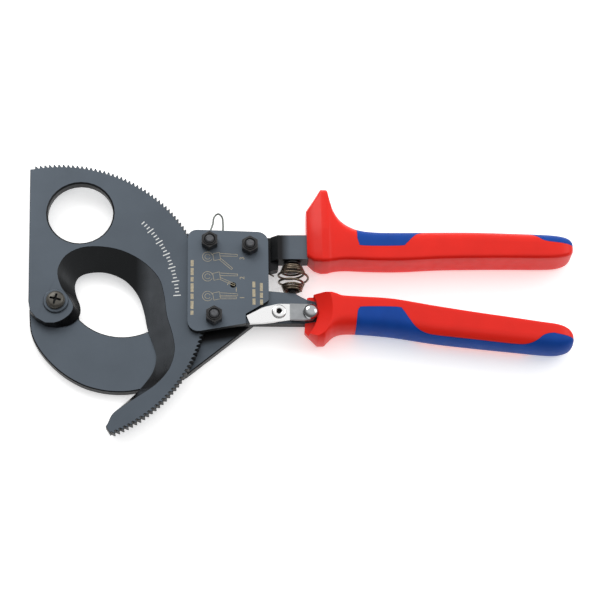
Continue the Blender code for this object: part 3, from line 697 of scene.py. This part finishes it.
def make_lock_nut(label, body):
    """Hexagon with a turned crown, a nylon ring and the bolt's end in it."""
    middle = centre_of(f"{label}_nut")
    axis = (middle.x, middle.y, 0)
    low, high = heights(f"{label}_nut")
    corner = NUT_FLATS / math.sqrt(3)
    plan = [polar(middle, corner, degrees) for degrees in range(30, 390, 60)]
    nut = prism(f"{label}_nut_detail", plan, low, high - 0.7)
    crown = turned("crown", [
        (0, high + 1), (NUT_FLATS / 2 - 0.6, high + 1.0), (corner + 2.6, low + 2.0),
        (corner + 2.6, low - 3.6), (0, low - 3.6),
    ], axis, 64)
    cut(nut, crown, "INTERSECT")
    hollow = turned("hollow", [
        (0, high + 1), (3.0, high + 1), (3.0, low + 1.5), (0, low + 1.5),
    ], axis)
    cut(nut, hollow)
    finish_piece(nut, body, [M["black"]], (f"{label}_nut",))
    soften(nut, 0.18)
    ring_bore = NUT_BORE + 0.1
    ring = turned(f"{label}_nut_collar", [
        (ring_bore, high - 0.55), (NUT_BORE + 0.35, high - 0.2), (2.95, high), (3.15, high - 0.05),
        (3.3, high - 0.35), (3.3, high - 1.2), (ring_bore, high - 1.2), (ring_bore, high - 0.55),
    ], axis)
    finish_piece(ring, body, [M["nylon"]])
    tip = high + 0.5
    crest, root, head = 2.25, 1.95, 4.5
    end = turned(f"{label}_bolt_detail", [
        (0, tip), (1.55, tip), (1.9, tip - 0.3), (2.2, tip - 0.55), (root, tip - 0.8),
        (crest, tip - 1.1), (root, tip - 1.5), (crest, tip - 1.9), (crest, 2.4), (head, 0.15),
        (head, 0.02), (2.0, 0.02), (1.6, 1.2), (0, 1.4),
    ], axis)
    finish_piece(end, body, [M["bolt_end"]], (f"{label}_bolt",))


def make_bush():
    """Flanged bush round the blade pivot's screw, on the frame's own axis."""
    low, high = heights("blade_pivot_bush")
    bush = turned("blade_pivot_bush_detail", [
        (3.2, high - 0.25), (3.5, high), (6.0, high), (6.35, high - 0.3), (6.35, high - 0.88),
        (4.95, high - 0.92), (4.95, low), (2.6, low), (2.6, high - 0.25), (3.2, high - 0.25),
    ], (0, 0, 0), 72)
    finish_piece(bush, BODY_OF["blade_pivot_screw"], [M["blade"]], ("blade_pivot_bush",))
    soften(bush, 0.1)


def make_screw():
    """Pan head with a cross recess, whose inside is painted dark as shade, and the nut under it."""
    low, high = heights("blade_pivot_screw")
    base = high - 2.5
    screw = turned("blade_pivot_screw_detail", [
        (0, high), (1.6, high - 0.03), (2.9, high - 0.16), (3.7, high - 0.42), (4.2, high - 0.85),
        (4.7, base + 0.9), (4.8, base + 0.35), (4.72, base), (2.25, base), (2.25, low), (0, low),
    ], (0, 0, 0), 72)
    for turn in (CROSS_TURN, CROSS_TURN + 90.0):
        cosine = math.cos(math.radians(turn))
        sine = math.sin(math.radians(turn))
        outline = [
            (CROSS_REACH * cosine * s - CROSS_HALF * sine * t,
             CROSS_REACH * sine * s + CROSS_HALF * cosine * t)
            for s, t in CROSS_SHAPE
        ]
        cut(screw, prism("slot", outline, high - 1.7, high + 1))
    recess = turned("recess", [
        (0, high + 1), (1.15, high + 1), (0.9, high - 1.8), (0, high - 2.0),
    ], (0, 0, 0), 24)
    cut(screw, recess)
    # The recess's inside gets the near-black rim material: painted shade.
    for face in screw.data.polygons:
        inside = math.hypot(face.center.x, face.center.y) < (CROSS_REACH + 0.1) * MM
        face.material_index = int(inside and face.center.z < (high - 0.5) * MM)
    body = BODY_OF["blade_pivot_screw"]
    finish_piece(screw, body, [M["screw"], M["rim"]], ("blade_pivot_screw",))
    refined("blade_pivot_nut", [M["black"]], 0.2)


# ---------------------------------------------------------------- lever, springs and wire

def make_lever():
    """Polished lever with a satin thumb plate."""
    refined(
        "lock_lever", [M["chrome"], M["plate"]], 0.35, segments=3,
        paint=lambda face: int(face.calc_center_median().x > THUMB_START * MM),
    )


def make_knob():
    """Low dome with a brim, on a thin stem through the thumb plate."""
    at = centre_of("lock_lever_knob")
    base, top = heights("lock_lever_knob")
    seat = top - KNOB_RISE - 0.3
    dome = []
    for step in range(KNOB_STEPS + 1):
        angle = math.pi / 2 * step / KNOB_STEPS
        dome.append((KNOB_RADIUS * math.sin(angle), seat + 0.3 + KNOB_RISE * math.cos(angle)))
    knob = turned("lock_lever_knob_detail", [
        *dome, (4.05, seat + 0.15), (3.9, seat), (1.2, seat), (1.2, base), (0, base),
    ], (at.x + KNOB_SHIFT, at.y, 0), 64)
    finish_piece(knob, BODY_OF["lock_lever_knob"], [M["knob"]], ("lock_lever_knob",), angle=40)


def make_rivet():
    """Hollow rivet of the lever, with painted shade inside its bore."""
    at = centre_of("lock_lever_rivet")
    base, top = heights("lock_lever_rivet")
    rivet = turned("lock_lever_rivet_detail", [
        (1.2, top - 0.75), (1.35, top - 0.3), (1.6, top - 0.08), (2.0, top), (2.7, top - 0.1),
        (3.3, top - 0.35), (3.6, top - 0.62), (3.65, top - 0.8), (1.6, top - 0.8), (1.6, base),
        (1.2, base), (1.2, top - 0.75),
    ], (at.x, at.y, 0), 64)
    # The bore's faces get the black nylon material: painted shade.
    for face in rivet.data.polygons:
        off = math.hypot(face.center.x - at.x * MM, face.center.y - at.y * MM)
        face.material_index = int(off < 1.4 * MM)
    body = BODY_OF["lock_lever_rivet"]
    finish_piece(rivet, body, [M["chrome"], M["nylon"]], ("lock_lever_rivet",), angle=40)


def make_spring():
    """Barrel spring: close coils at both ends and one wide open coil in the middle."""
    low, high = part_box("return_spring")
    middle = centre_of("return_spring")
    foot = low.y / MM + SPRING_GAP
    head = high.y / MM - SPRING_GAP
    axis_z = centre_of("upper_spring_peg").z
    points = []
    for turn, radius, rise in spline(COILS, COIL_STEPS):
        angle = 2 * math.pi * turn
        points.append((
            middle.x + radius * math.cos(angle), foot + (head - foot) * rise,
            axis_z + radius * math.sin(angle),
        ))
    spring = tube("return_spring_detail", points, SPRING_WIRE, sides=4)
    finish_piece(spring, BODY_OF["return_spring"], [M["spring"]], ("return_spring",), angle=60)
    for node in ("upper_spring_peg", "lower_spring_peg"):
        refined(node, [M["black"]], 0.25)


def dress_small_parts():
    """The CAD's own wires and pin stay, with materials of this scene."""
    for node, finish, smooth in (
        ("release_wire", "wire", True), ("pawl_spring", "spring", True),
        ("drive_pawl_pin", "black", False),
    ):
        mesh = frame["nodes"][node].data
        mesh.materials.clear()
        mesh.materials.append(M[finish])
        if smooth:
            mesh.shade_smooth()


# ---------------------------------------------------------------- grips

# A grip's stations are (x, inner side, outer side, half thickness, rounding of the outer side);
# the upper grip's inner side is its low side, and the lower grip's is its high one.

def grip_section(station, inner_is_low):
    """One ring: flat inner wall with a crisp corner, crowned face, round outer side."""
    x, inner, outer, half, outer_round = station
    width = abs(outer - inner)
    sign = 1.0 if inner_is_low else -1.0
    edge = min(EDGE_RADIUS, half * 0.5, width * 0.25)
    reach = min(outer_round, width * 0.48)
    front = [(0.0, 0.0), (0.02, 0.55 * (half - edge))]
    for step in range(6):
        angle = math.radians(18.0 * step)
        front.append((edge - edge * math.cos(angle), half - edge + edge * math.sin(angle)))
    flat = width - reach - edge
    for step in range(1, 9):
        front.append((edge + flat * step / 9, half))
    for step in range(12):
        angle = math.radians(90.0 * step / 12)
        bulge = reach * math.sin(angle) ** SWELL
        front.append((width - reach + bulge, half * math.cos(angle) ** SWELL))
    front.append((width, 0.0))
    lean = 0.0 if inner_is_low else COLLAR_LEAN * max(0.0, 1.0 - abs(x - RIDGE_AT) / RIDGE_REACH)
    crowned = []
    for across, z in front:
        y = inner + sign * across
        crown = 1.0 - CROWN_FALL * (2 * across / width - 0.7) ** 2
        guard = 1.0 - GUARD_THINNING * max(0.0, y - GUARD_FOOT)
        crowned.append((x + lean * (y - outer), y, z * crown * guard))
    ring = [(along, y, GRIP_MIDDLE + z) for along, y, z in crowned]
    ring += [(along, y, GRIP_MIDDLE - z) for along, y, z in reversed(crowned[1:-1])]
    return ring


def grip_body(name, collar, shank, inner_is_low):
    """The collar's stations are joined straight, for its facets, and the shank's in a curve."""
    stations = [*collar, *spline([collar[-1], *shank], 8)[1:]]
    return loft(name, [grip_section(station, inner_is_low) for station in stations])


UPPER_COLLAR = [
    (127.0, 22.8, 49.2, 6.4, 3.0), (127.5, 22.0, 50.0, 6.9, 3.5), (130.8, 19.4, 55.2, 8.3, 4.0),
    (134.2, 18.6, 61.0, 9.60, 5.0), (134.7, 18.6, 61.5, 9.7, 5.0), (137.6, 18.7, 61.4, 9.7, 5.0),
    (138.2, 18.8, 60.6, 9.65, 5.2),
]
UPPER_SHANK = [
    (139.4, 19.1, 55.0, 9.3, 6.0), (141.2, 19.4, 49.0, 9.15, 6.5), (144.5, 19.8, 43.8, 9.1, 7.0),
    (149.0, 19.9, 40.3, 9.25, 7.0), (154.0, 19.7, 38.2, 9.35, 7.0), (162.0, 19.4, 37.1, 9.3, 7.0),
    (176.0, 19.4, 36.9, 9.3, 7.0), (195.0, 20.4, 37.1, 9.3, 7.0), (212.0, 20.7, 37.1, 9.3, 7.0),
    (230.0, 20.8, 36.6, 9.3, 7.0), (246.0, 20.7, 36.0, 9.2, 7.0), (254.0, 20.9, 35.5, 9.1, 6.8),
    (258.8, 21.7, 34.7, 8.7, 6.2), (261.8, 23.0, 33.5, 7.7, 5.0), (263.4, 24.8, 31.8, 6.0, 3.2),
    (264.0, 26.9, 29.8, 3.6, 1.2),
]
LOWER_COLLAR = [
    (125.2, 1.6, -16.8, 7.2, 4.0), (125.8, 2.0, -17.6, 7.8, 4.5), (131.0, 2.2, -22.8, 9.6, 5.0),
    (131.5, 2.2, -23.1, 9.7, 5.0), (134.6, 2.2, -23.1, 9.7, 5.0), (135.2, 2.2, -22.8, 9.65, 5.2),
]
LOWER_SHANK = [
    (137.0, 2.0, -21.0, 9.6, 6.0), (140.0, 1.5, -18.4, 9.5, 6.5), (145.0, 0.3, -17.0, 9.4, 7.0),
    (154.0, -0.3, -17.2, 9.3, 7.0), (170.0, -1.5, -18.8, 9.3, 7.0), (190.0, -5.1, -22.1, 9.3, 7.0),
    (210.0, -8.5, -24.6, 9.3, 7.0), (230.0, -11.6, -26.8, 9.3, 7.0), (244.0, -13.8, -28.3, 9.2, 6.8),
    (251.0, -14.8, -28.7, 9.1, 6.6), (255.4, -15.9, -28.1, 8.7, 6.0), (258.4, -17.4, -26.9, 7.7, 4.8),
    (260.2, -19.2, -25.2, 6.0, 3.0), (260.9, -21.0, -23.2, 3.6, 1.0),
]
# Plan outlines of the inlays. The first point and the last two lie outside the grip, and the
# ones between them are drawn round.
UPPER_INLAY = [
    (152.6, 45.0), (152.6, 31.6), (153.4, 28.6), (155.6, 27.1), (174.6, 27.1), (177.6, 28.4),
    (180.4, 31.4), (183.6, 34.2), (188.6, 36.0), (196.0, 36.6), (212.0, 36.6), (230.0, 35.8),
    (240.0, 35.0), (244.2, 33.4), (248.0, 30.6), (252.0, 29.6), (258.0, 28.9), (270.0, 27.0),
    (270.0, 45.0),
]
LOWER_INLAY = [
    (149.9, -34.0), (150.3, -22.0), (151.6, -9.6), (152.6, -7.0), (155.0, -6.2), (171.6, -6.4),
    (174.6, -8.0), (177.4, -12.4), (180.6, -16.6), (185.0, -19.2), (192.0, -20.7), (212.0, -23.1),
    (230.0, -25.2), (237.0, -25.4), (241.4, -24.0), (245.0, -21.4), (249.0, -20.4), (253.0, -20.9),
    (268.0, -24.0), (268.0, -40.0), (200.0, -45.0),
]


def grown(outline, amount):
    """The outline moved outward, for the seam between the two mouldings."""
    points = [Vector(point) for point in outline]
    area = sum(a.cross(b) for a, b in zip(points, [*points[1:], points[0]]))
    moved = []
    for i, here in enumerate(points):
        back = (here - points[i - 1]).normalized()
        ahead = (points[(i + 1) % len(points)] - here).normalized()
        normal = Vector((back.y + ahead.y, -back.x - ahead.x)).normalized()
        moved.append(tuple(here + normal * amount * math.copysign(1.0, area)))
    return moved


def smooth_inlay(outline):
    """Rounds the drawn corners of an inlay except its outer frame."""
    return [outline[0], *spline(outline[1:-2], 4), *outline[-2:]]


def clear_sweep(grip):
    """Cuts the room that the lever and its knob turn through out of a grip."""
    rivet = centre_of("lock_lever_rivet")
    low, high = heights("lock_lever")
    floor = low - SWEEP_GAP
    sweep = turned("sweep", [
        (0, SWEEP_TOP[1]), SWEEP_TOP, SWEEP_FACE, (SWEEP_RADIUS, high + SWEEP_GAP),
        (SWEEP_RADIUS, floor), (0, floor),
    ], (rivet.x, rivet.y, 0), 96)
    cut(grip, sweep)


def make_grip(label, collar, shank, inlay, inner_is_low):
    """Red moulding with a pocket, and the blue inlay that fills it, cut from the same shape."""
    node = f"{label}_grip"
    inset = f"{label}_grip_inset"
    shape = smooth_inlay(inlay)
    red = grip_body(f"{node}_detail", collar, shank, inner_is_low)
    cut(red, prism("pocket", grown(shape, SEAM), CUT_FROM, CUT_TO))
    blue = grip_body(f"{label}_inlay_detail", collar, shank, inner_is_low)
    cut(blue, prism("island", grown(shape, -SEAM), CUT_FROM, CUT_TO), "INTERSECT")
    if label == "lower":
        clear_sweep(red)
    finish_piece(red, BODY_OF[node], [M["red"]], (node,), angle=24)
    finish_piece(blue, BODY_OF[inset], [M["blue"]], (inset,), angle=24)


# ---------------------------------------------------------------- marks

def flat_strip(name, shapes, height, material, body):
    """Many small flat outlines joined in one thin printed piece, just above a face."""
    points, faces = [], []
    for outline in shapes:
        size = len(outline)
        start = len(points)
        points += [(*point, z) for z in (height, height + PRINT) for point in outline]
        faces.append(tuple(range(start, start + size)))
        faces.append(tuple(range(start + size, start + 2 * size)))
        for i in range(size):
            j = (i + 1) % size
            faces.append((start + i, start + j, start + j + size, start + i + size))
    finish_piece(mesh_from(name, points, faces), body, [material])


def stroke(a, b, width):
    """Rectangle along the line from a to b."""
    a, b = Vector(a), Vector(b)
    side = Vector((a.y - b.y, b.x - a.x)).normalized() * width / 2
    return [tuple(a + side), tuple(a - side), tuple(b - side), tuple(b + side)]


def polyline(points, width):
    return [stroke(a, b, width) for a, b in zip(points, points[1:])]


def arc(centre, radius, start, end, steps=20):
    return [
        polar(centre, radius, start + (end - start) * step / steps) for step in range(steps + 1)
    ]


# Plain bars in place of the tool's words: a column's x, its start in y, then its bars' lengths.
TEXT_BARS = (
    (68.6, -8.6, (2.2, 4.4, 3.0, 4.8, 2.6, 4.0, 3.4)), (99.8, -3.2, (3.4, 4.2, 3.2)),
    (103.6, -3.2, (2.8, 2.8, 4.4)),
)


def make_scale():
    """Arc of ticks on the moving blade, round its pivot."""
    _, face = heights("moving_blade")
    ticks = []
    for i in range(TICKS):
        angle = math.radians(TICK_START + TICK_SWEEP * i / (TICKS - 1))
        out = Vector((math.cos(angle), math.sin(angle)))
        inner, outer = LONG_TICK if i % 4 == 0 else SHORT_TICK
        ticks.append(stroke(out * inner, out * outer, TICK_WIDTH))
    flat_strip("blade_scale", ticks, face, M["white_print"], BODY_OF["moving_blade"])


def small_drawing(y, opening):
    """Outline of the tool, with its lower handle opened by some degrees."""
    head = (76.4, y + 1.0)
    neck = [(79.0, y + 2.6), (82.4, y + 3.4), (83.0, y - 0.4), (79.6, y - 1.2), (79.0, y + 2.6)]
    fixed_handle = [(82.8, y + 2.8), (91.6, y + 2.2), (91.6, y + 1.2), (82.9, y + 1.4)]
    tilt = math.radians(-opening)
    along = Vector((math.cos(tilt), math.sin(tilt)))
    side = Vector((-along.y, along.x)) * 0.5
    foot = Vector((82.4, y))
    end = foot + along * HANDLE_LENGTH
    moving_handle = [foot + side, end + side, end - side, foot - side]
    return [
        *polyline(arc(head, 2.6, 20.0, 330.0), FINE_LINE),
        *polyline(arc(head, 1.4, 20.0, 330.0, 12), THIN_LINE),
        *polyline(neck, FINE_LINE),
        *polyline(fixed_handle, FINE_LINE),
        *polyline(moving_handle, FINE_LINE),
    ]


def text_bars():
    bars = []
    for x, y, lengths in TEXT_BARS:
        for length in lengths:
            bars.append(stroke((x, y), (x, y + length), BAR_WIDTH))
            y += length + BAR_GAP
    return bars


def make_cover_print():
    """Drawings of the handle's positions, bars for words, and two lines at the pawl's pin."""
    _, face = heights("cover_plate")
    body = BODY_OF["cover_plate"]
    lines = []
    for row, opening in enumerate(HANDLE_OPENINGS):
        lines += small_drawing(DRAWING_FOOT + DRAWING_PITCH * row, opening)
    lines += text_bars()
    pin = centre_of("drive_pawl_pin")
    lines.append(stroke((pin.x - 2.9, pin.y), (pin.x - 1.6, pin.y + 2.2), BOLD_LINE))
    lines.append(stroke((pin.x + 1.6, pin.y - 1.2), (pin.x + 1.6, pin.y - 3.6), BOLD_LINE))
    flat_strip("cover_pictograms", lines, face, M["tan_print"], body)
    for row in range(len(HANDLE_OPENINGS)):
        name = f"cover_number_{row + 1}"
        curve = bpy.data.curves.new(name, "FONT")
        curve.body = str(row + 1)
        curve.size = NUMBER_SIZE * MM
        curve.extrude = PRINT / 2 * MM
        curve.align_x = "CENTER"
        curve.materials.append(M["tan_print"])
        number = link(name, curve)
        number.rotation_euler = (0, 0, math.pi / 2)
        number.location = Vector((NUMBER_X, NUMBER_FOOT + DRAWING_PITCH * row, face + 0.02)) * MM
        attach(number, body)


make_camera()
bpy.context.scene.world = studio_dome()
make_lamps()
make_floor()

make_blades()
for nut_label in ("body_front", "body_rear", "handle_pivot"):
    make_lock_nut(nut_label, BODY_OF[f"{nut_label}_nut"])
make_bush()
make_screw()
make_lever()
make_knob()
make_rivet()
make_spring()
dress_small_parts()
make_grip("upper", UPPER_COLLAR, UPPER_SHANK, UPPER_INLAY, True)
make_grip("lower", LOWER_COLLAR, LOWER_SHANK, LOWER_INLAY, False)
make_scale()
make_cover_print()
